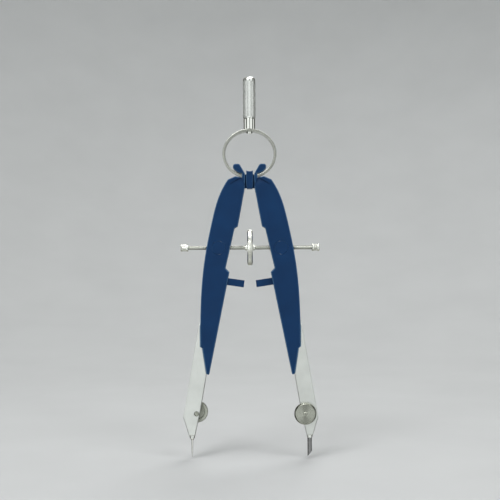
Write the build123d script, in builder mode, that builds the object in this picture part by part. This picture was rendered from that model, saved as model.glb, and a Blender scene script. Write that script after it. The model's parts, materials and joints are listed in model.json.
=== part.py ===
from build123d import *
import math
import os

# Ring-head bow compass: two moulded legs on a ring spring, opened by a centre wheel.
# Millimetres. X runs across the legs, Z up to the handle, and the front faces -Y.
# The origin lies midway between the two tips, at the level of the needle's point.
# Both legs are one design: the left one is the right one turned half round Z.

# ---- driving dimensions ----
LEG_HALF = 3.0          # half the depth of a moulded leg
ARM_HALF = 2.9          # half the thickness of a metal arm, nearly flush with the leg
TONGUE_HALF = 1.8       # half the thickness of its tongue inside the leg
ARM_FULL_TOP = 60.0     # above this only the tongue is left
ARM_EDGE = 0.25         # chamfer on the arms
EDGE = 0.35             # chamfer on moulded edges
RUN = 0.05              # radial running clearance
BREAK = 0.2             # chamfer on small metal edges
BEVEL = 0.3             # chamfer on the end caps and the rivet's head
HORN_ROUND = 1.2        # corner radii of the leg's outline
SHOULDER_ROUND = 0.7
TOE_ROUND = 0.5
ELBOW_ROUND = 1.2       # widest corner of a metal arm
FACET_DEEP = (3.6, 125.7)
FACET_OUTER = (8.8, 122.5)
FACET_INNER = (1.6, 121.2)
FACET_DEPTH = 1.0
GROOVE = ((3.6, 125.7), (8.8, 122.5), (9.0, 122.85), (3.85, 126.05))
GROOVE_DEPTH = 0.6

PIVOT_X = 1.35          # the two leg pivots on the fulcrum block
PIVOT_Z = 125.5
LOBE_R = 1.6
LOBE_HALF = 1.9
BLOCK_TOP = 128.8
BLOCK_DIP = 128.4       # lowest point of its hollow top
BLOCK_WAIST = 122.9     # below this it narrows, to clear the closed legs
BLOCK_BOTTOM = 120.6
BLOCK_X = 1.5
BLOCK_FOOT_X = 1.2
SKIRT_X = 2.9           # thin plate that closes the gaps beside the block
SKIRT_LOW = 120.9
SKIRT_HIGH = 124.3
SKIRT_HALF = 0.9
SKIRT_POCKET = 1.05     # half the depth of the leg's pocket for it
SKIRT_SWEEP = ((1.0, 125.2), (3.45, 124.9), (4.1, 121.3), (3.6, 120.6), (1.0, 120.3))

RING_Z = 136.4          # centre of the ring spring
RING_RX = 11.5          # half-width and half-height of the strip's mid line
RING_RZ = 10.5
RING_T = 1.2
RING_WIDTH = 5.0
RING_END_X = 3.6        # where the strip ends, each side of the middle

STEM_R = 2.6
GRIP_R = 2.78
GRIP_BOTTOM = 152.2
GRIP_TOP = 169.8
DOME_H = 1.1
STUD_R = 1.5
STUD_TOP = 160.0
RIVET_R = 0.9
RIVET_TOP = 150.0
RIVET_HEAD_R = 1.4
RIVET_HEAD_H = 1.0

NUT_X = 14.1            # the trunnion nuts and the spindle's axis
NUT_Z = 94.2
NUT_R = 3.0
NUT_HALF = 2.95
ROD_R = 0.98
ROD_END = 30.2
SLOT_HALF = 1.2         # half the depth of the spindle's slot in a leg
SLOT_REACH = 8.0        # the slot flares over this distance each side of the nut
SLOT_WAIST = 1.3
SLOT_SHORT = 3.4
SLOT_LONG = 3.8
CAP_R = 1.7
CAP_IN = 27.8
CAP_OUT = 31.1
WHEEL_R = 8.0
WHEEL_HALF = 1.2
COLLAR_R = 1.35
COLLAR_IN = 1.25
COLLAR_OUT = 2.2

TIP_X = 26.4            # needle and lead
BORE_R = 1.03
STOCK_R = 1.0           # 2 mm lead, and a needle body of the same size
BORE_TOP = 32.0
NOSE_TOP = 10.2
NOSE_BOTTOM = 8.8
NOSE_TOP_R = 1.35
NOSE_BOTTOM_R = 1.2
STOCK_TOP = 30.0
LEAD_BOTTOM = 0.4
LEAD_BEVEL = 2.9        # height of the sharpening bevel across the lead
POINT_PROFILE = ((0.36, 3.0), (0.38, 7.7), (0.95, 8.6), (1.0, 9.2))
SPLIT_HALF = 0.2        # half the saw cut that lets the clamp close
SPLIT_TOP = 34.0
SPLIT_WIDTH = 14.0

SCREW_X = 24.3          # clamp screw, along Y
SCREW_Z = 20.0
SCREW_R = 1.1
SCREW_HEAD_R = 4.95
SCREW_FACE_R = 4.3
SCREW_HEAD_IN = 3.15
SCREW_HEAD_MID = 4.3
SCREW_HEAD_OUT = 5.2
SCREW_PIP_R = 0.75
SCREW_PIP_H = 0.3
SCREW_END = 2.5
TAB_NEAR = 0.4          # guide tab, measured from the mid plane
TAB_FAR = 2.0
TAB_OUTLINE = ((2.5, 79.5), (10.6, 80.7), (11.0, 77.6), (2.9, 76.4))
TAB_POCKET = 2.15
TAB_SWEEP = ((8, 75.4), (14.5, 76.6), (16.4, 78.4), (16.4, 83.0), (14.5, 83.4), (8, 81.6))


def leg_plane(side):
    """The mid plane of a leg: local x away from the middle, local y up, local z to its screw head."""
    return Plane(origin=(0, 0, 0), x_dir=(side, 0, 0), z_dir=(0, -side, 0))


def save(piece, name):
    piece.part.label = name
    export_step(piece.part, f"parts/{name}.step")


def leg_outline():
    """Face of a moulded leg on the XY plane, from the inner face up over the horn and down outside."""
    with BuildSketch() as face:
        with BuildLine():
            Polyline((2.25, 120.8), (2.1, 127.4), (4.55, 131.75), (7.75, 131.75), (7.35, 129.9))
            ThreePointArc((7.35, 129.9), (5.35, 128.1), (3.35, 127.45))
            Polyline((3.35, 127.45), (3.6, 125.6), (6.4, 126.2), (9.75, 124.75))
            Spline((9.75, 124.75), (14.5, 115.3), (17.0, 106.0), (20.5, 88.0), (22.3, 66.0), (22.4, 49.9))
            Polyline((22.4, 49.9), (21.5, 49.2), (19.8, 38.0), (18.7, 36.9))
            Polyline((18.7, 36.9), (9.3, 83.2), (11.05, 85.0), (6.9, 102.9), (5.45, 103.7), (2.25, 120.8))
        make_face()
        fillet(face.vertices().filter_by(lambda v: v.Y > 131), HORN_ROUND)
        fillet(face.vertices().filter_by(lambda v: v.X > 9.5 and 124 < v.Y < 125), SHOULDER_ROUND)
        fillet(face.vertices().filter_by(lambda v: v.Y < 38.5), TOE_ROUND)
        fillet(face.vertices().filter_by(lambda v: v.X < 12 and 83 < v.Y < 104), TOE_ROUND)
    return face.sketch


def arm_outline():
    """Face of a metal arm on the XY plane: the visible bar and the tongue held inside the leg."""
    with BuildSketch() as face:
        with BuildLine():
            Polyline(
                (20.9, 72.0), (30.2, 18.5), (27.7, NOSE_TOP), (25.0, NOSE_TOP),
                (22.9, 20.0), (21.6, 26.6), (19.6, 38.4), (13.6, 70.5), (15.0, 72.0), (20.9, 72.0),
            )
        make_face()
        fillet(face.vertices().filter_by(lambda v: v.X > 30), ELBOW_ROUND)
    return face.sketch


def leg_shell(side, outward):
    """Half of a leg, split at its mid plane. outward is +1 on the screw-head half, -1 on the other."""
    plane = leg_plane(side)
    depth_axis = Axis((0, 0, 0), plane.z_dir * outward)
    with BuildPart() as shell:
        with BuildSketch(plane):
            add(leg_outline())
        extrude(amount=LEG_HALF * outward)
        chamfer(shell.faces().sort_by(depth_axis)[-1].edges(), EDGE)
        # sloping facet under the shoulder, deepest beside the spring's end
        facet_corners = (
            (*FACET_DEEP, (LEG_HALF - FACET_DEPTH) * outward),
            (*FACET_OUTER, LEG_HALF * outward),
            (*FACET_INNER, LEG_HALF * outward),
        )
        facet = Face(Wire.make_polygon([plane.from_local_coords(corner) for corner in facet_corners]))
        extrude(facet, amount=LEG_HALF, dir=plane.z_dir * outward, mode=Mode.SUBTRACT)
        # shadow groove along the facet's upper edge
        with BuildSketch(plane.offset(LEG_HALF * outward)):
            with BuildLine():
                Polyline(*GROOVE, close=True)
            make_face()
        extrude(amount=-GROOVE_DEPTH * outward, mode=Mode.SUBTRACT)
        # pocket for the arm's tongue
        with BuildSketch(plane):
            add(arm_outline())
        extrude(amount=TONGUE_HALF * outward, mode=Mode.SUBTRACT)
        # bore for the trunnion nut
        with BuildSketch(plane):
            with Locations((NUT_X, NUT_Z)):
                Circle(NUT_R + RUN)
        extrude(amount=LEG_HALF * outward, mode=Mode.SUBTRACT)
        # flared slot, so that the leg can swing about the level spindle
        with BuildSketch(plane):
            with BuildLine():
                Polyline(
                    (NUT_X, NUT_Z + SLOT_WAIST),
                    (NUT_X + SLOT_REACH, NUT_Z + SLOT_SHORT),
                    (NUT_X + SLOT_REACH, NUT_Z - SLOT_LONG),
                    (NUT_X, NUT_Z - SLOT_WAIST),
                    (NUT_X - SLOT_REACH, NUT_Z - SLOT_SHORT),
                    (NUT_X - SLOT_REACH, NUT_Z + SLOT_LONG),
                    close=True,
                )
            make_face()
        extrude(amount=SLOT_HALF * outward, mode=Mode.SUBTRACT)
        # socket that rolls on the fulcrum block's lobe
        with BuildSketch(plane):
            with Locations((PIVOT_X, PIVOT_Z)):
                Circle(LOBE_R + RUN)
        extrude(amount=(LOBE_HALF + RUN) * outward, mode=Mode.SUBTRACT)
        # pocket swept by the block's skirt as the leg swings
        with BuildSketch(plane):
            with BuildLine():
                Polyline(*SKIRT_SWEEP, close=True)
            make_face()
        extrude(amount=SKIRT_POCKET * outward, mode=Mode.SUBTRACT)
        if outward > 0:
            # pocket that takes the other leg's guide tab when the legs close
            with BuildSketch(plane):
                with BuildLine():
                    Polyline(*TAB_SWEEP, close=True)
                make_face()
            extrude(amount=TAB_POCKET, mode=Mode.SUBTRACT)
        else:
            # guide tab, reaching towards the other leg
            with BuildSketch(plane.offset(-TAB_FAR)):
                with BuildLine():
                    Polyline(*TAB_OUTLINE, close=True)
                make_face()
            extrude(amount=TAB_FAR - TAB_NEAR)
    return shell


os.makedirs("parts", exist_ok=True)

# ---- ring spring: a strip bent into a C, open at the bottom ----
end_angle = math.acos(RING_END_X / RING_RX)
end_z = RING_Z - RING_RZ * math.sin(end_angle)
end_slope = (RING_RX * math.sin(end_angle)) / (RING_RZ * math.cos(end_angle))
apex_z = end_z + RING_END_X * end_slope
foot_z = RING_Z - RING_RZ - RING_WIDTH
foot_x = (apex_z - foot_z) / end_slope
with BuildPart() as ring_spring:
    with BuildSketch(Plane.XZ):
        with Locations((0, RING_Z)):
            Ellipse(RING_RX + RING_T / 2, RING_RZ + RING_T / 2)
            Ellipse(RING_RX - RING_T / 2, RING_RZ - RING_T / 2, mode=Mode.SUBTRACT)
        with BuildLine():
            Polyline((0, apex_z), (foot_x, foot_z), (-foot_x, foot_z), (0, apex_z))
        make_face(mode=Mode.SUBTRACT)
    extrude(amount=RING_WIDTH / 2, both=True)
    with BuildSketch(Plane.XY.offset(RING_Z)):
        Circle(RIVET_R)
    extrude(amount=RING_RZ + RING_T, mode=Mode.SUBTRACT)
save(ring_spring, "ring_spring")

# ---- handle: rivet, polished stem and fluted grip ----
crown_in = RING_Z + RING_RZ - RING_T / 2
crown_out = RING_Z + RING_RZ + RING_T / 2
with BuildPart() as handle_rivet:
    with BuildSketch(Plane.XY.offset(crown_in - RIVET_HEAD_H)):
        Circle(RIVET_HEAD_R)
    extrude(amount=RIVET_HEAD_H)
    chamfer(handle_rivet.edges().group_by(Axis.Z)[0], BEVEL)
    with BuildSketch(Plane.XZ):
        with Locations((0, RING_Z)):
            Ellipse(RING_RX + RING_T / 2, RING_RZ + RING_T / 2)
            Ellipse(RING_RX - RING_T / 2, RING_RZ - RING_T / 2, mode=Mode.SUBTRACT)
    extrude(amount=RING_WIDTH / 2, both=True, mode=Mode.SUBTRACT)
    with BuildSketch(Plane.XY.offset(crown_in - RIVET_HEAD_H / 2)):
        Circle(RIVET_R)
    extrude(amount=RIVET_TOP - crown_in + RIVET_HEAD_H / 2)
save(handle_rivet, "handle_rivet")

with BuildPart() as handle_stem:
    with BuildSketch(Plane.XY.offset(crown_out - RING_T / 2)):
        Circle(STEM_R)
    extrude(amount=GRIP_BOTTOM - crown_out + RING_T / 2)
    chamfer(handle_stem.edges().group_by(Axis.Z)[-1], BREAK)
    with BuildSketch(Plane.XY.offset(GRIP_BOTTOM)):
        Circle(STUD_R)
    extrude(amount=STUD_TOP - GRIP_BOTTOM)
    with BuildSketch(Plane.XZ):
        with Locations((0, RING_Z)):
            Ellipse(RING_RX + RING_T / 2, RING_RZ + RING_T / 2)
    extrude(amount=RING_WIDTH, both=True, mode=Mode.SUBTRACT)
    with BuildSketch(Plane.XY.offset(crown_in)):
        Circle(RIVET_R)
    extrude(amount=RIVET_TOP - crown_in, mode=Mode.SUBTRACT)
save(handle_stem, "handle_stem")

with BuildPart() as handle_grip:
    with BuildSketch(Plane.XZ):
        with BuildLine():
            Polyline(
                (0, STUD_TOP), (STUD_R, STUD_TOP), (STUD_R, GRIP_BOTTOM), (GRIP_R - BREAK, GRIP_BOTTOM),
                (GRIP_R, GRIP_BOTTOM + BREAK), (GRIP_R, GRIP_TOP), (GRIP_R - DOME_H, GRIP_TOP + DOME_H),
                (0, GRIP_TOP + DOME_H), (0, STUD_TOP),
            )
        make_face()
    revolve(axis=Axis.Z)
save(handle_grip, "handle_grip")

# ---- fulcrum block: the legs roll on its two lobes ----
with BuildPart() as fulcrum_block:
    with BuildSketch(Plane.XZ):
        with BuildLine():
            Polyline(
                (BLOCK_X, BLOCK_TOP), (BLOCK_X, BLOCK_WAIST), (BLOCK_FOOT_X, BLOCK_BOTTOM),
                (-BLOCK_FOOT_X, BLOCK_BOTTOM), (-BLOCK_X, BLOCK_WAIST), (-BLOCK_X, BLOCK_TOP),
            )
            ThreePointArc((-BLOCK_X, BLOCK_TOP), (0, BLOCK_DIP), (BLOCK_X, BLOCK_TOP))
        make_face()
    extrude(amount=ARM_HALF, both=True)
    chamfer(fulcrum_block.faces().sort_by(Axis.Y)[0].edges(), BREAK)
    chamfer(fulcrum_block.faces().sort_by(Axis.Y)[-1].edges(), BREAK)
    with BuildSketch(Plane.XZ):
        with Locations((0, (SKIRT_LOW + SKIRT_HIGH) / 2)):
            Rectangle(2 * SKIRT_X, SKIRT_HIGH - SKIRT_LOW)
    extrude(amount=SKIRT_HALF, both=True)
    with BuildSketch(Plane.XZ):
        with Locations((PIVOT_X, PIVOT_Z), (-PIVOT_X, PIVOT_Z)):
            Circle(LOBE_R)
    extrude(amount=LOBE_HALF, both=True)
save(fulcrum_block, "fulcrum_block")

# ---- legs, arms, nuts, clamp screws ----
SIDES = (("right", 1), ("left", -1))
for side_name, side in SIDES:
    for half_name, toward_front in (("front", 1), ("rear", -1)):
        save(leg_shell(side, toward_front * side), f"{side_name}_{half_name}_shell")

    plane = leg_plane(side)
    with BuildPart() as arm:
        with BuildSketch(plane):
            add(arm_outline())
            add(leg_outline(), mode=Mode.SUBTRACT)
            with Locations((0, ARM_FULL_TOP)):
                Rectangle(4 * TIP_X, 2 * TIP_X, align=(Align.CENTER, Align.MIN), mode=Mode.SUBTRACT)
        extrude(amount=ARM_HALF, both=True)
        broad_faces = arm.faces().filter_by(Axis.Y).sort_by(Axis.Y)
        chamfer([*broad_faces[0].edges(), *broad_faces[-1].edges()], ARM_EDGE)
        with BuildSketch(plane):
            add(arm_outline())
        extrude(amount=TONGUE_HALF, both=True)
        # conical nose
        with BuildSketch(Plane.XY.offset(NOSE_TOP).shift_origin((side * TIP_X, 0, NOSE_TOP))):
            Circle(NOSE_TOP_R)
        with BuildSketch(Plane.XY.offset(NOSE_BOTTOM).shift_origin((side * TIP_X, 0, NOSE_BOTTOM))):
            Circle(NOSE_BOTTOM_R)
        loft()
        # bore for the 2 mm stock, saw cut and screw hole
        with BuildSketch(Plane.XY.offset(NOSE_BOTTOM)):
            with Locations((side * TIP_X, 0)):
                Circle(BORE_R)
        extrude(amount=BORE_TOP - NOSE_BOTTOM, mode=Mode.SUBTRACT)
        with BuildSketch(plane):
            with Locations((TIP_X - 2, (NOSE_BOTTOM + SPLIT_TOP) / 2)):
                Rectangle(SPLIT_WIDTH, SPLIT_TOP - NOSE_BOTTOM)
        extrude(amount=SPLIT_HALF, both=True, mode=Mode.SUBTRACT)
        with BuildSketch(plane):
            with Locations((SCREW_X, SCREW_Z)):
                Circle(SCREW_R + RUN)
        extrude(amount=ARM_HALF, both=True, mode=Mode.SUBTRACT)
    save(arm, f"{side_name}_arm")

    with BuildPart() as nut:
        with BuildSketch(plane):
            with Locations((NUT_X, NUT_Z)):
                Circle(NUT_R)
        extrude(amount=NUT_HALF, both=True)
        chamfer(nut.edges(), BREAK)
        with BuildSketch(Plane.YZ):
            with Locations((0, NUT_Z)):
                Circle(ROD_R + RUN)
        extrude(amount=side * (NUT_X + 2 * NUT_R), mode=Mode.SUBTRACT)
    save(nut, f"{side_name}_nut")

    with BuildPart() as clamp_screw:
        with BuildSketch(plane.offset(SCREW_HEAD_IN)):
            with Locations((SCREW_X, SCREW_Z)):
                Circle(SCREW_HEAD_R)
        extrude(amount=SCREW_HEAD_MID - SCREW_HEAD_IN)
        with BuildSketch(plane.offset(SCREW_HEAD_MID)):
            with Locations((SCREW_X, SCREW_Z)):
                Circle(SCREW_HEAD_R)
        with BuildSketch(plane.offset(SCREW_HEAD_OUT)):
            with Locations((SCREW_X, SCREW_Z)):
                Circle(SCREW_FACE_R)
        loft()
        with BuildSketch(plane.offset(SCREW_HEAD_OUT)):
            with Locations((SCREW_X, SCREW_Z)):
                Circle(SCREW_PIP_R)
        extrude(amount=SCREW_PIP_H)
        with BuildSketch(plane.offset(ARM_HALF + RUN)):
            with Locations((SCREW_X, SCREW_Z)):
                Circle(2 * SCREW_R)
        extrude(amount=SCREW_HEAD_IN - ARM_HALF - RUN)
        with BuildSketch(plane.offset(-SCREW_END)):
            with Locations((SCREW_X, SCREW_Z)):
                Circle(SCREW_R)
        extrude(amount=SCREW_END + SCREW_HEAD_IN)
    save(clamp_screw, f"{side_name}_clamp_screw")

    with BuildPart() as end_cap:
        with BuildSketch(Plane.YZ.offset(side * CAP_IN)):
            with Locations((0, NUT_Z)):
                Circle(CAP_R)
        extrude(amount=side * (CAP_OUT - CAP_IN))
        chamfer(end_cap.edges(), BEVEL)
        with BuildSketch(Plane.YZ):
            with Locations((0, NUT_Z)):
                Circle(ROD_R)
        extrude(amount=side * ROD_END, mode=Mode.SUBTRACT)
    save(end_cap, f"{side_name}_end_cap")

# ---- spindle, wheel and collars ----
with BuildPart() as threaded_spindle:
    with BuildSketch(Plane.YZ):
        with Locations((0, NUT_Z)):
            Circle(ROD_R)
    extrude(amount=ROD_END, both=True)
save(threaded_spindle, "threaded_spindle")

with BuildPart() as thumbwheel:
    with BuildSketch(Plane.YZ):
        with Locations((0, NUT_Z)):
            Circle(WHEEL_R)
            Circle(ROD_R, mode=Mode.SUBTRACT)
    extrude(amount=WHEEL_HALF, both=True)
save(thumbwheel, "thumbwheel")

with BuildPart() as wheel_collars:
    for collar_side in (1, -1):
        with BuildSketch(Plane.YZ.offset(collar_side * COLLAR_IN)):
            with Locations((0, NUT_Z)):
                Circle(COLLAR_R)
                Circle(ROD_R + RUN, mode=Mode.SUBTRACT)
        extrude(amount=collar_side * (COLLAR_OUT - COLLAR_IN))
save(wheel_collars, "wheel_collars")

# ---- needle and lead ----
with BuildPart() as needle:
    with BuildSketch(Plane.XZ):
        with BuildLine():
            Polyline(
                (-TIP_X, 0), *[(-TIP_X + radius, height) for radius, height in POINT_PROFILE],
                (-TIP_X + STOCK_R, STOCK_TOP), (-TIP_X, STOCK_TOP), close=True,
            )
        make_face()
    revolve(axis=Axis((-TIP_X, 0, 0), (0, 0, 1)))
save(needle, "needle")

with BuildPart() as lead:
    with BuildSketch(Plane.XY.offset(LEAD_BOTTOM)):
        with Locations((TIP_X, 0)):
            Circle(STOCK_R)
    extrude(amount=STOCK_TOP - LEAD_BOTTOM)
    with BuildSketch(Plane.XZ):
        with BuildLine():
            Polyline(
                (TIP_X - STOCK_R, LEAD_BOTTOM), (TIP_X + STOCK_R + BREAK, LEAD_BOTTOM + LEAD_BEVEL),
                (TIP_X + STOCK_R + BREAK, 0), (TIP_X - STOCK_R, 0), close=True,
            )
        make_face()
    extrude(amount=2 * STOCK_R, both=True, mode=Mode.SUBTRACT)
save(lead, "lead")
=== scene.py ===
"""Looks of the ring-head bow compass: fluted grip, spring, threads, knurls, materials, light and camera."""
import json
import math

import bmesh
import bpy
from mathutils import Matrix, Vector


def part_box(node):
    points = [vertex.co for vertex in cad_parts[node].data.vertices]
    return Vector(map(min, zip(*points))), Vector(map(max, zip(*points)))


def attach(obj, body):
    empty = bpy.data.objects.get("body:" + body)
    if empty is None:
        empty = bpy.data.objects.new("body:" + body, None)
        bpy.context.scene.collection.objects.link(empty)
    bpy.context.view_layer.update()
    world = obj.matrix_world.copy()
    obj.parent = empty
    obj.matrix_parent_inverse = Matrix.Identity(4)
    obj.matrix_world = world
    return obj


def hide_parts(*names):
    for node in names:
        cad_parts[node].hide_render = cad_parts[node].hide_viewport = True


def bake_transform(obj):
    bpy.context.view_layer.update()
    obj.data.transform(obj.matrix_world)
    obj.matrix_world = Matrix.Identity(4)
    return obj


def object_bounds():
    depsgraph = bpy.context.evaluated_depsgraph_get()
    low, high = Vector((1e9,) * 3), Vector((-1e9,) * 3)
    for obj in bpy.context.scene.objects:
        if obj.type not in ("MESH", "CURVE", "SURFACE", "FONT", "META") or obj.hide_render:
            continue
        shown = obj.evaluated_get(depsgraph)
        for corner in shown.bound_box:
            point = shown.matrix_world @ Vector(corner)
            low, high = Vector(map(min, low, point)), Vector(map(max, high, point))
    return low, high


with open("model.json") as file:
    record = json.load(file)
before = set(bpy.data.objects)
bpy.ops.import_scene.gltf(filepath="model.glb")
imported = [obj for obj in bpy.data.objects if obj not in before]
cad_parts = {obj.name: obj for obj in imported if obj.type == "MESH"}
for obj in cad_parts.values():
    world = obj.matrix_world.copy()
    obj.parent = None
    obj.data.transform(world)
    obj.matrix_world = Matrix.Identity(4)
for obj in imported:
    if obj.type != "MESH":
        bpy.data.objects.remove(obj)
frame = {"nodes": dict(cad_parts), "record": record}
cad_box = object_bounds()
MM = 0.001


# ---------------------------------------------------------------- places, from the frame, in millimetres
def node_box(node):
    low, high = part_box(node)
    return Vector(low) / MM, Vector(high) / MM


grip_low, grip_high = node_box("handle_grip")
rivet_low, rivet_high = node_box("handle_rivet")
ring_low, ring_high = node_box("ring_spring")
spindle_high = node_box("threaded_spindle")[1]
wheel_low, wheel_high = node_box("thumbwheel")
collar_high = node_box("wheel_collars")[1]
cap_low, cap_high = node_box("right_end_cap")
screw_low, screw_high = node_box("right_clamp_screw")
needle_low, needle_high = node_box("needle")
lead_low, lead_high = node_box("lead")
SPINDLE_Z = (wheel_low.z + wheel_high.z) / 2


# ---------------------------------------------------------------- materials
EVEN = (1, 1, 1)
DRAWN_ALONG_Z = (1, 1, 0.1)
DRAWN_ALONG_Y = (1, 0.1, 1)
NOISE_LOW, NOISE_HIGH = 0.3, 0.7


def node_material(name, color, metallic, roughness):
    """A material with a Principled shader, and its object coordinates in millimetres."""
    material = bpy.data.materials.new(name)
    material.use_nodes = True
    tree = material.node_tree
    shader = tree.nodes["Principled BSDF"]
    shader.inputs["Base Color"].default_value = (*color, 1)
    shader.inputs["Metallic"].default_value = metallic
    shader.inputs["Roughness"].default_value = roughness
    place = tree.nodes.new("ShaderNodeTexCoord")
    scale = tree.nodes.new("ShaderNodeMapping")
    scale.inputs["Scale"].default_value = (1 / MM, 1 / MM, 1 / MM)
    tree.links.new(place.outputs["Object"], scale.inputs["Vector"])
    return material, tree, shader, scale


def noise(tree, place, size, detail=3.0, stretch=EVEN):
    """Noise whose grains are about size millimetres, drawn out along the axes with a low stretch."""
    mapping = tree.nodes.new("ShaderNodeMapping")
    mapping.inputs["Scale"].default_value = stretch
    texture = tree.nodes.new("ShaderNodeTexNoise")
    texture.inputs["Scale"].default_value = 1 / size
    texture.inputs["Detail"].default_value = detail
    tree.links.new(place.outputs["Vector"], mapping.inputs["Vector"])
    tree.links.new(mapping.outputs["Vector"], texture.inputs["Vector"])
    return texture.outputs["Fac"]


def vary(tree, value, low, high):
    """The noise's usual range spread over low to high."""
    spread = tree.nodes.new("ShaderNodeMapRange")
    spread.inputs["From Min"].default_value = NOISE_LOW
    spread.inputs["From Max"].default_value = NOISE_HIGH
    spread.inputs["To Min"].default_value = low
    spread.inputs["To Max"].default_value = high
    tree.links.new(value, spread.inputs["Value"])
    return spread.outputs["Result"]


def color_ramp(tree, value, stops):
    """Colours that follow value; each stop is (position, colour)."""
    ramp = tree.nodes.new("ShaderNodeValToRGB")
    elements = ramp.color_ramp.elements
    elements[0].position = stops[0][0]
    elements[1].position = stops[-1][0]
    for position, color in stops[1:-1]:
        elements.new(position)
    for element, (position, color) in zip(elements, stops):
        element.color = (*color, 1)
    tree.links.new(value, ramp.inputs["Fac"])
    return ramp.outputs["Color"]


def two_tones(tree, value, dark, light):
    return color_ramp(tree, value, [(NOISE_LOW, dark), (NOISE_HIGH, light)])


def bump(tree, shader, value, height):
    """Bump with a height in millimetres."""
    bumps = tree.nodes.new("ShaderNodeBump")
    bumps.inputs["Strength"].default_value = 1.0
    bumps.inputs["Distance"].default_value = height * MM
    tree.links.new(value, bumps.inputs["Height"])
    tree.links.new(bumps.outputs["Normal"], shader.inputs["Normal"])


def shade(color, factor):
    return tuple(channel * factor for channel in color)


def metal(name, color, roughness, grain, height, stretch=EVEN, spread=0.06):
    """Metal with a fine grain of that size and bump height, in millimetres, and faint cloudy patches."""
    material, tree, shader, place = node_material(name, color, 1.0, roughness)
    fine = noise(tree, place, grain, 4.0, stretch)
    cloudy = noise(tree, place, 6.0, 2.0)
    tones = two_tones(tree, cloudy, shade(color, 0.94), shade(color, 1.04))
    rough = vary(tree, fine, roughness - spread, roughness + spread)
    tree.links.new(tones, shader.inputs["Base Color"])
    tree.links.new(rough, shader.inputs["Roughness"])
    bump(tree, shader, fine, height)
    return material


def chamfer_highlight_mask(tree, low, high):
    """1 on faces that slope between the broad faces and the sides: the moulding's broken edges, which get a
    painted highlight.
    """
    place = tree.nodes.new("ShaderNodeTexCoord")
    split = tree.nodes.new("ShaderNodeSeparateXYZ")
    tree.links.new(place.outputs["Normal"], split.inputs["Vector"])
    depth = tree.nodes.new("ShaderNodeMath")
    depth.operation = "ABSOLUTE"
    tree.links.new(split.outputs["Y"], depth.inputs[0])
    black, white = (0, 0, 0), (1, 1, 1)
    return color_ramp(tree, depth.outputs["Value"], [(low, black), ((low + high) / 2, white), (high, black)])


def moulded_plastic(name, color, highlight_color):
    """Matte moulded plastic, paler on its chamfered edges: a painted highlight."""
    material, tree, shader, place = node_material(name, color, 0.0, 0.42)
    shader.inputs["Specular IOR Level"].default_value = 0.18
    cloudy = noise(tree, place, 9.0, 3.0)
    fine = noise(tree, place, 0.16, 3.0)
    # Painted highlight: a paler blue is mixed onto the chamfered edges through the mask.
    painted_highlight = tree.nodes.new("ShaderNodeMixRGB")
    painted_highlight.inputs["Color2"].default_value = (*highlight_color, 1)
    tree.links.new(chamfer_highlight_mask(tree, 0.45, 0.97), painted_highlight.inputs["Fac"])
    tones = two_tones(tree, cloudy, shade(color, 0.9), shade(color, 1.1))
    tree.links.new(tones, painted_highlight.inputs["Color1"])
    tree.links.new(painted_highlight.outputs["Color"], shader.inputs["Base Color"])
    tree.links.new(vary(tree, fine, 0.38, 0.5), shader.inputs["Roughness"])
    bump(tree, shader, fine, 0.005)
    return material


def graphite_lead(name):
    """Graphite with a dark polish, streaked along its length."""
    material, tree, shader, place = node_material(name, (0.2, 0.2, 0.2), 0.9, 0.2)
    fine = noise(tree, place, 0.07, 4.0, (1, 1, 0.3))
    tones = two_tones(tree, fine, (0.17, 0.17, 0.172), (0.27, 0.27, 0.272))
    tree.links.new(tones, shader.inputs["Base Color"])
    tree.links.new(vary(tree, fine, 0.14, 0.22), shader.inputs["Roughness"])
    bump(tree, shader, fine, 0.0015)
    return material


BLUE = (0.0036, 0.0345, 0.112)
# Paler blue painted onto the chamfers as a highlight.
HIGHLIGHT_BLUE = (0.055, 0.140, 0.270)
materials = {
    "blue_plastic": moulded_plastic("blue_moulding", BLUE, HIGHLIGHT_BLUE),
    "satin_nickel": metal("satin_nickel", (0.76, 0.78, 0.76), 0.40, 0.22, 0.003),
    "satin_grip": metal("satin_grip", (0.70, 0.715, 0.70), 0.27, 0.18, 0.002, DRAWN_ALONG_Z),
    "polished_steel": metal("polished_steel", (0.72, 0.73, 0.70), 0.09, 0.3, 0.0004, EVEN, 0.03),
    "spring_steel": metal("spring_steel", (0.45, 0.46, 0.425), 0.24, 0.25, 0.0015, DRAWN_ALONG_Y),
    "plated_brass": metal("plated_brass", (0.66, 0.67, 0.63), 0.22, 0.2, 0.001),
    "thread_steel": metal("thread_steel", (0.44, 0.45, 0.41), 0.24, 0.15, 0.001),
    "screw_steel": metal("screw_steel", (0.35, 0.36, 0.318), 0.28, 0.25, 0.0015),
    "needle_steel": metal("needle_steel", (0.72, 0.72, 0.70), 0.18, 0.12, 0.0006, DRAWN_ALONG_Z),
    "graphite": graphite_lead("graphite_lead"),
}
node_slots = {part["node"]: part["material_slot"] for part in frame["record"]["subparts"]}
for node, shown in frame["nodes"].items():
    shown.data.materials.clear()
    shown.data.materials.append(materials[node_slots[node]])


# ---------------------------------------------------------------- mesh helpers
SHARP = math.radians(34)


def make_object(name, solid):
    """A smooth-shaded object from a bmesh, with an edge kept crisp where its faces meet sharply."""
    bmesh.ops.recalc_face_normals(solid, faces=solid.faces)
    for face in solid.faces:
        face.smooth = True
    for edge in solid.edges:
        edge.smooth = edge.calc_face_angle(0.0) < SHARP
    mesh = bpy.data.meshes.new(name)
    solid.to_mesh(mesh)
    solid.free()
    shape = bpy.data.objects.new(name, mesh)
    bpy.context.scene.collection.objects.link(shape)
    return shape


def make_piece(name, solid, node, body=None):
    """A piece of the compass that rides on its body and stands for a CAD node."""
    piece = make_object(name, solid)
    piece.data.materials.append(materials[node_slots[node]])
    if body:
        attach(piece, body)
    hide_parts(node)
    return piece


def along(axis, centre):
    """Matrix that lays the lathe's Z along axis, through centre; both in millimetres."""
    turn = Vector((0, 0, 1)).rotation_difference(Vector(axis)).to_matrix().to_4x4()
    return Matrix.Translation(Vector(centre)) @ turn


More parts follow.
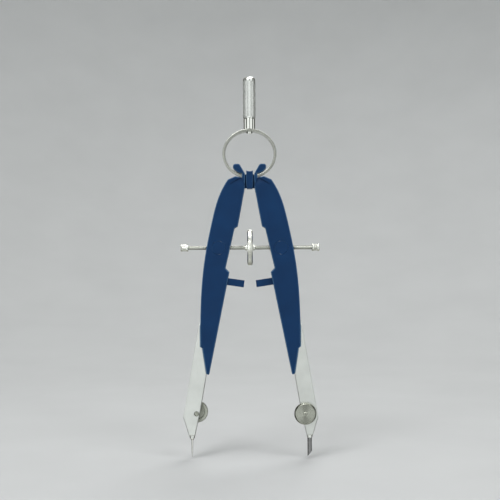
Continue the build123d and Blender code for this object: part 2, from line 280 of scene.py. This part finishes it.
def circle(solid, placing, r, h, steps, radius=None):
    """A ring of points at height h, or one point where r is 0; radius(r, h, angle) may change r."""
    if r == 0:
        return [solid.verts.new(placing @ Vector((0, 0, h)) * MM)]
    points = []
    for step in range(steps):
        angle = 2 * math.pi * step / steps
        true_r = radius(r, h, angle) if radius else r
        point = Vector((true_r * math.cos(angle), true_r * math.sin(angle), h))
        points.append(solid.verts.new(placing @ point * MM))
    return points


def bridge(solid, first, second):
    """Faces between two rings of points, either of which may be a single point."""
    steps = max(len(first), len(second))
    for step in range(steps):
        after = (step + 1) % steps
        if len(first) == 1:
            solid.faces.new((first[0], second[after], second[step]))
        elif len(second) == 1:
            solid.faces.new((first[step], first[after], second[0]))
        else:
            solid.faces.new((first[step], first[after], second[after], second[step]))


def lathe(profile, placing, steps, radius=None):
    """Surface of revolution; profile is (radius, height) from end to end, closed where it meets the axis."""
    solid = bmesh.new()
    rings = [circle(solid, placing, r, h, steps, radius) for r, h in profile]
    for lower, upper in zip(rings, rings[1:]):
        bridge(solid, lower, upper)
    return solid


def knurled(full_r, count, depth, low, high):
    """Radius rule: count round-bottomed flutes of that depth, cut where the radius is full_r between the
    heights low and high. With full_r None they are cut at any radius."""
    def rule(r, h, angle):
        cut = low <= h <= high and full_r in (None, r)
        return r - depth * (0.5 - 0.5 * math.cos(count * angle)) if cut else r
    return rule


def softened(name, node, body, width):
    """A copy of a CAD part with its edges rounded over, as moulding or tumbling leaves them."""
    weld, flat, sharp, segments = 0.001, math.radians(0.5), math.radians(25), 2
    solid = bmesh.new()
    solid.from_mesh(frame["nodes"][node].data)
    bmesh.ops.remove_doubles(solid, verts=solid.verts, dist=weld * MM)
    bmesh.ops.dissolve_limit(
        solid, angle_limit=flat, use_dissolve_boundaries=False, verts=solid.verts, edges=solid.edges
    )
    corners = [edge for edge in solid.edges if edge.is_manifold and edge.calc_face_angle(0.0) > sharp]
    bmesh.ops.bevel(
        solid, geom=corners, offset=width * MM, offset_type="OFFSET", segments=segments, profile=0.5,
        affect="EDGES", clamp_overlap=True,
    )
    piece = make_piece(name, solid, node, body)
    weighted = piece.modifiers.new("weighted", "WEIGHTED_NORMAL")
    weighted.keep_sharp = True


# ---------------------------------------------------------------- handle
def fluted_grip():
    """A bar with fine flutes between two grooves, a rounded foot and a flat-topped dome."""
    bottom, top, r = grip_low.z, grip_high.z, grip_high.x
    flutes, depth, steps_per_flute = 44, 0.05, 8
    flute_low, flute_high = bottom + 0.75, top - 2.0
    groove_r = r - 0.08
    foot = [
        (0, bottom), (r - 0.35, bottom), (r - 0.12, bottom + 0.1), (r, bottom + 0.3), (r, bottom + 0.5),
        (groove_r, bottom + 0.6), (groove_r, bottom + 0.7),
    ]
    collar = [(groove_r, top - 1.95), (groove_r, top - 1.85), (r, top - 1.75), (r, top - 1.25)]
    dome = [
        (r - 0.05, top - 1.05), (r - 0.28, top - 0.66), (r - 0.62, top - 0.3), (r - 1.0, top - 0.08),
        (r - 1.25, top), (0, top),
    ]
    profile = foot + [(r, flute_low), (r, flute_high)] + collar + dome
    flute = knurled(None, flutes, depth, flute_low, flute_high)
    solid = lathe(profile, along((0, 0, 1), (0, 0, 0)), flutes * steps_per_flute, flute)
    make_piece("fluted_grip", solid, "handle_grip", "head")


def polished_rivet():
    """The rivet's domed head inside the ring, and its shank."""
    bottom, top, r = rivet_low.z, rivet_high.z, rivet_high.x
    head_top, shank_r = bottom + 1.0, 0.6 * r
    profile = [
        (0, bottom), (0.35 * r, bottom + 0.01), (0.7 * r, bottom + 0.09), (0.92 * r, bottom + 0.25),
        (r, bottom + 0.5), (r, head_top), (shank_r, head_top), (shank_r, top), (0, top),
    ]
    make_piece("domed_rivet", lathe(profile, along((0, 0, 1), (0, 0, 0)), 48), "handle_rivet", "head")


# ---------------------------------------------------------------- ring spring
STRIP_THICKNESS = 1.2
STRIP_CORNER = 0.28
RING_MID_RISE = 10.5
RING_END_X = 3.6


def strip_section(corner_steps=4):
    """The strip's rounded rectangle as (across, deep) points."""
    thickness, width = STRIP_THICKNESS, ring_high.y - ring_low.y
    section = []
    for across, deep, first in ((1, 1, 0), (-1, 1, 90), (-1, -1, 180), (1, -1, 270)):
        for step in range(corner_steps + 1):
            angle = math.radians(first + 90 * step / corner_steps)
            section.append((
                across * (thickness / 2 - STRIP_CORNER) + STRIP_CORNER * math.cos(angle),
                deep * (width / 2 - STRIP_CORNER) + STRIP_CORNER * math.sin(angle),
            ))
    return section


def ring_half(side, name, steps=72):
    """Half of the spring's elliptical strip, from the crown to its end in that leg's notch."""
    mid_x = ring_high.x - STRIP_THICKNESS / 2
    crown_z = ring_high.z - STRIP_THICKNESS / 2
    centre_z = crown_z - RING_MID_RISE
    crown_angle = math.pi / 2
    end_angle = -math.acos(RING_END_X / mid_x)
    section = strip_section()
    solid = bmesh.new()
    loops = []
    for step in range(steps + 1):
        t = crown_angle + (end_angle - crown_angle) * step / steps
        centre = Vector((mid_x * math.cos(t), 0, centre_z + RING_MID_RISE * math.sin(t)))
        outward = Vector((math.cos(t) / mid_x, 0, math.sin(t) / RING_MID_RISE)).normalized()
        loop = []
        for across, deep in section:
            point = centre + outward * across + Vector((0, deep, 0))
            loop.append(solid.verts.new(Vector((side * point.x, point.y, point.z)) * MM))
        loops.append(loop)
    for first, second in zip(loops, loops[1:]):
        bridge(solid, first, second)
    solid.faces.new(loops[0])
    solid.faces.new(loops[-1])
    piece = make_piece(name, solid, "ring_spring")
    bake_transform(piece)


# ---------------------------------------------------------------- spindle and wheel
THREAD_PITCH = 0.9
THREAD_DEPTH = 0.17


def unit(value):
    """value held between 0 and 1."""
    return min(1.0, max(0.0, value))


def threaded_rod():
    """Left-hand and right-hand threads run out from the wheel; each starts and ends in a plain neck."""
    half, r = spindle_high.x, spindle_high.z - SPINDLE_Z
    end_r, end_gap = r - 0.2, 0.01
    neck, thread_end = collar_high.x + 0.2, cap_low.x + 0.2
    run_in, run_out = 0.7, 0.4
    crest, flank = 0.12, 0.76
    neck_depth, neck_lead = 0.6, 0.3
    steps_per_pitch, steps_round = 10, 36

    def thread(here, h, angle):
        if here != r:
            return here
        hand = 1 if h > 0 else -1
        turn = h / THREAD_PITCH - hand * angle / (2 * math.pi)
        groove = unit((abs(2 * (turn % 1.0) - 1) - crest) / flank)
        fade = unit((abs(h) - neck) / run_in) * unit((thread_end - abs(h)) / run_out)
        plain = neck_depth * (1 - fade) if abs(h) > neck - neck_lead else 0.0
        return r - THREAD_DEPTH * (groove * fade + plain)

    count = round(2 * thread_end / THREAD_PITCH * steps_per_pitch)
    heights = [-thread_end + 2 * thread_end * k / count for k in range(count + 1)]
    profile = [(0, -half), (end_r, -half), (end_r, heights[0] - end_gap)]
    profile += [(r, h) for h in heights]
    profile += [(end_r, heights[-1] + end_gap), (end_r, half), (0, half)]
    solid = lathe(profile, along((1, 0, 0), (0, 0, SPINDLE_Z)), steps_round, thread)
    make_piece("threaded_rod", solid, "threaded_spindle", "spindle")


def knurled_wheel():
    """A knurled rim between two chamfers, and a shallow dish turned in each side."""
    half, r = wheel_high.x, (wheel_high.z - wheel_low.z) / 2
    teeth, depth, steps_per_tooth = 96, 0.13, 6
    dish = -half + 0.16
    side_profile = [
        (0, -half), (2.1, -half), (2.3, dish), (6.35, dish), (6.65, -half), (r - 0.55, -half),
        (r - 0.1, -half + 0.42), (r, -half + 0.5),
    ]
    profile = side_profile + [(a, -h) for a, h in reversed(side_profile)]
    tooth = knurled(r, teeth, depth, -half + 0.45, half - 0.45)
    solid = lathe(profile, along((1, 0, 0), (0, 0, SPINDLE_Z)), teeth * steps_per_tooth, tooth)
    make_piece("knurled_wheel", solid, "thumbwheel", "spindle")


def turned_collars():
    """A tube with broken edges each side of the wheel, clear of the spindle."""
    inner, outer, r = 1.25, collar_high.x, collar_high.y
    bore, steps = 1.03, 48
    profile = [
        (bore, inner), (r - 0.12, inner), (r, inner + 0.12), (r, outer - 0.3), (r - 0.12, outer - 0.08),
        (r - 0.3, outer), (bore, outer),
    ]
    solid = bmesh.new()
    for side in (1, -1):
        placing = along((side, 0, 0), (0, 0, SPINDLE_Z))
        rings = [circle(solid, placing, a, h, steps) for a, h in profile]
        for first, second in zip(rings, rings[1:] + rings[:1]):
            bridge(solid, first, second)
    make_piece("turned_collars", solid, "wheel_collars", "spindle_carriage")


def nut_pin(side, name, node, body):
    """The pivoting nut: a plain pin, flush with the leg, with barely broken edges."""
    low, high = node_box(node)
    centre = ((low.x + high.x) / 2, 0, SPINDLE_Z)
    r, half, edge = (high.x - low.x) / 2, high.y, 0.07
    profile = [
        (0, -half), (r - edge, -half), (r, -half + edge), (r, half - edge), (r - edge, half), (0, half),
    ]
    make_piece(name, lathe(profile, along((0, -side, 0), centre), 96), node, body)


def end_cap(side, name, node):
    """A spool: two bright rims and a finely knurled waist between them."""
    inner, outer, r = cap_low.x, cap_high.x, cap_high.y
    lines, depth, steps_per_line = 30, 0.08, 6
    rim, edge, shoulder_r, waist = 0.75, 0.14, r - 0.06, r - 0.22
    profile = [
        (0, inner), (r - edge, inner), (r, inner + edge), (r, inner + rim - edge), (shoulder_r, inner + rim),
        (waist, inner + rim + 0.08), (waist, outer - rim - 0.08), (shoulder_r, outer - rim),
        (r, outer - rim + edge), (r, outer - edge), (r - edge, outer), (0.6, outer), (0.45, outer - 0.15),
        (0, outer - 0.15),
    ]
    line = knurled(None, lines, depth, inner + rim + 0.05, outer - rim - 0.05)
    solid = lathe(profile, along((side, 0, 0), (0, 0, SPINDLE_Z)), lines * steps_per_line, line)
    make_piece(name, solid, node, "spindle")


# ---------------------------------------------------------------- clamp screws, needle, lead
def clamp_screw(side, name, node, body):
    """A domed shank and a knurled head, hollow underneath; its face has fine rings and a pip."""
    centre = ((screw_low.x + screw_high.x) / 2 * side, 0, (screw_low.z + screw_high.z) / 2)
    r = (screw_high.z - screw_low.z) / 2
    top, bottom = -screw_low.y, -screw_high.y
    teeth, depth, steps_per_tooth = 60, 0.09, 6
    shank_r, boss_r, boss_bottom, seat, face = 1.1, 2.15, 2.96, 3.15, 5.13
    hollow, face_r = seat + 0.6, r - 0.62
    ridge, valley = face - 0.07, face - 0.1
    rings, outer_ring_r, inner_ring_r = 9, face_r - 0.3, 1.15
    dome = [
        (0, bottom), (0.2, bottom + 0.01), (0.4, bottom + 0.045), (0.6, bottom + 0.1), (0.75, bottom + 0.16),
        (0.87, bottom + 0.22), (1.0, bottom + 0.33), (shank_r, bottom + 0.5),
    ]
    under = [
        (shank_r, boss_bottom), (boss_r, boss_bottom), (boss_r, hollow), (3.2, hollow), (3.4, seat + 0.05),
        (3.5, seat), (r - 0.2, seat),
    ]
    rim = [
        (r, seat + 0.2), (r, seat + 0.95), (r - 0.1, seat + 1.1), (face_r + 0.12, face - 0.08),
        (face_r, face), (face_r - 0.1, face - 0.02), (face_r - 0.14, valley), (outer_ring_r, valley),
    ]
    turned = []
    step = (outer_ring_r - inner_ring_r) / rings
    for k in range(rings):
        ring_r = outer_ring_r - step * k
        turned += [(ring_r - 0.2 * step, ridge), (ring_r - 0.6 * step, ridge)]
        turned += [(ring_r - 0.8 * step, valley), (ring_r - step, valley)]
    pip = [(0.9, face - 0.18), (0.76, valley), (0.75, top - 0.16), (0.6, top - 0.04), (0.4, top), (0, top)]
    tooth = knurled(r, teeth, depth, seat + 0.15, seat + 1.0)
    placing = along((0, -side, 0), centre)
    solid = lathe(dome + under + rim + turned + pip, placing, teeth * steps_per_tooth, tooth)
    make_piece(name, solid, node, body)


def ground_needle():
    """A ground point, a slim shank and a cone up to the part held in the arm; heights are from the tip."""
    x, top, held_r = (needle_low.x + needle_high.x) / 2, needle_high.z, 1.0
    point = [(0, 0), (0.06, 0.28), (0.2, 1.3), (0.32, 2.7), (0.37, 3.6)]
    cone = [(0.38, 7.4), (0.42, 7.65), (0.62, 8.05), (0.88, 8.5), (0.98, 8.8)]
    held = [(held_r, 9.2), (held_r, top - 0.3), (0.8, top), (0, top)]
    solid = lathe(point + cone + held, along((0, 0, 1), (x, 0, 0)), 40)
    make_piece("ground_needle", solid, "needle", "needle")


def bevelled_lead():
    """A round lead cut off by a plane that rises from its tip, on the left, to the right."""
    x = (lead_low.x + lead_high.x) / 2
    bottom, top, r = lead_low.z, lead_high.z, lead_high.y
    spare, bevel_rise = 0.5, 2.9
    blank = [(0, bottom - spare), (r, bottom - spare), (r, top), (0, top)]
    solid = lathe(blank, along((0, 0, 1), (x, 0, 0)), 48)
    slope = Vector((2 * r + 0.5, 0, bevel_rise)).normalized()
    cut = bmesh.ops.bisect_plane(
        solid, geom=solid.verts[:] + solid.edges[:] + solid.faces[:], clear_outer=True,
        plane_co=Vector((x - r, 0, bottom)) * MM, plane_no=Vector((slope.z, 0, -slope.x)),
    )
    rim = [item for item in cut["geom_cut"] if isinstance(item, bmesh.types.BMEdge)]
    bmesh.ops.contextual_create(solid, geom=rim)
    make_piece("bevelled_lead", solid, "lead", "lead")


SHELL_ROUND, ARM_ROUND, BLOCK_ROUND, STEM_ROUND = 0.12, 0.06, 0.1, 0.06
for leg_side in ("right", "left"):
    for half in ("front", "rear"):
        softened(f"{leg_side}_{half}_moulding", f"{leg_side}_{half}_shell", f"{leg_side}_leg", SHELL_ROUND)
    softened(f"{leg_side}_metal_arm", f"{leg_side}_arm", f"{leg_side}_leg", ARM_ROUND)
softened("moulded_block", "fulcrum_block", "head", BLOCK_ROUND)
softened("turned_stem", "handle_stem", "head", STEM_ROUND)
fluted_grip()
polished_rivet()
ring_half(1, "ring_right_half")
ring_half(-1, "ring_left_half")
threaded_rod()
knurled_wheel()
turned_collars()
nut_pin(1, "right_nut_pin", "right_nut", "right_nut")
nut_pin(-1, "left_nut_pin", "left_nut", "left_nut")
end_cap(1, "right_cap", "right_end_cap")
end_cap(-1, "left_cap", "left_end_cap")
clamp_screw(1, "right_screw_head", "right_clamp_screw", "right_screw")
clamp_screw(-1, "left_screw_head", "left_clamp_screw", "left_screw")
ground_needle()
bevelled_lead()


# ---------------------------------------------------------------- floor, light, camera
def make_floor():
    """A pale floor that curves up into a round wall, far enough out for any view to stay inside it."""
    flat, bend, height, steps, bend_steps = 300, 850, 1800, 96, 24
    ground = cad_box[0][2] / MM - 0.3
    profile = [(0, ground), (100, ground), (flat, ground)]
    for k in range(1, bend_steps + 1):
        angle = math.pi / 2 * k / bend_steps
        profile.append((flat + bend * math.sin(angle), ground + bend * (1 - math.cos(angle))))
    profile.append((flat + bend, height))
    floor = make_object("floor", lathe(profile, Matrix.Identity(4), steps))
    material, tree, shader, place = node_material("pale_floor", (0.55, 0.56, 0.57), 0.0, 0.8)
    tones = two_tones(tree, noise(tree, place, 60.0), (0.54, 0.55, 0.56), (0.565, 0.575, 0.585))
    tree.links.new(tones, shader.inputs["Base Color"])
    floor.data.materials.append(material)
    floor.visible_glossy = False


def area_light(name, place, size, power, aim=(0, 0, 0.09)):
    """A square soft light that faces the middle of the compass; places and size are in metres."""
    data = bpy.data.lights.new(name, "AREA")
    data.shape = "RECTANGLE"
    data.size = size
    data.size_y = size
    data.energy = power
    light = bpy.data.objects.new(name, data)
    light.location = place
    light.rotation_euler = (Vector(aim) - Vector(place)).to_track_quat("-Z", "Y").to_euler()
    bpy.context.scene.collection.objects.link(light)


def make_world():
    """The room that the metals reflect: a dim horizon, soft bands to the left and right of the front
    and of the back, a narrow strip at each side, and a paler ceiling and floor."""
    world = bpy.data.worlds.new("studio")
    bpy.context.scene.world = world
    world.use_nodes = True
    tree = world.node_tree
    room = tree.nodes["Background"]
    room.inputs["Strength"].default_value = 1.25
    place = tree.nodes.new("ShaderNodeTexCoord")
    split = tree.nodes.new("ShaderNodeSeparateXYZ")
    tree.links.new(place.outputs["Generated"], split.inputs["Vector"])

    def ramp(axis, tone, stops):
        """tone times a value that follows the direction's x, y or z, each from -1 to 1."""
        spread = tree.nodes.new("ShaderNodeMapRange")
        spread.inputs["From Min"].default_value = -1.0
        spread.inputs["From Max"].default_value = 1.0
        tree.links.new(split.outputs[axis], spread.inputs["Value"])
        stops = [((position + 1) / 2, shade(tone, value)) for position, value in stops]
        return color_ramp(tree, spread.outputs["Result"], stops)

    def mixed(kind, first, second):
        mix = tree.nodes.new("ShaderNodeMixRGB")
        mix.blend_type = kind
        mix.inputs["Fac"].default_value = 1.0
        tree.links.new(first, mix.inputs["Color1"])
        tree.links.new(second, mix.inputs["Color2"])
        return mix.outputs["Color"]

    cool, warm, white = (0.97, 1.0, 0.99), (1.0, 1.0, 0.86), (1, 1, 1)
    height = ramp("Z", warm, [(-1, 0.30), (-0.45, 0.05), (0.45, 0.05), (1, 0.38)])
    bands = ramp("X", cool, [
        (-0.80, 0.0), (-0.68, 1.0), (-0.14, 1.0), (-0.06, 0.33),
        (0.26, 0.33), (0.36, 1.0), (0.74, 1.0), (0.86, 0.0),
    ])
    front = mixed("MULTIPLY", bands, ramp("Y", white, [(-0.45, 1.0), (-0.25, 0.0)]))
    rear_band = ramp("X", cool, [(-0.45, 0.0), (-0.30, 1.0), (0.30, 1.0), (0.45, 0.0)])
    rear = mixed("MULTIPLY", rear_band, ramp("Y", white, [(0.25, 0.0), (0.45, 0.40)]))
    strips = ramp("X", cool, [(-0.985, 0.95), (-0.93, 0.0), (0.93, 0.0), (0.985, 0.7)])
    glow = mixed("ADD", mixed("ADD", front, rear), strips)
    tree.links.new(mixed("ADD", height, glow), room.inputs["Color"])


def make_camera():
    """Straight on to the front face, 450 mm away, with a field 225 mm wide at the compass."""
    distance, field, lift, roll, sensor = 0.45, 0.225, 0.0077, math.radians(0.3), 36.0
    data = bpy.data.cameras.new("camera")
    data.sensor_width = sensor
    data.lens = sensor * distance / field
    camera = bpy.data.objects.new("camera", data)
    camera.location = (0, -distance, (cad_box[0][2] + cad_box[1][2]) / 2 + lift)
    camera.rotation_euler = (math.radians(90), roll, 0)
    bpy.context.scene.collection.objects.link(camera)
    bpy.context.scene.camera = camera


make_floor()
make_world()
area_light("front_left", (-0.32, -0.50, 0.72), 0.40, 2.7)
area_light("front_right", (0.42, -0.42, 0.70), 0.35, 1.3)
area_light("top", (-0.08, -0.12, 0.85), 0.25, 1.5)
area_light("back", (0.15, 0.45, 0.85), 0.40, 2.3)
make_camera()
bpy.context.scene.view_settings.view_transform = "Standard"
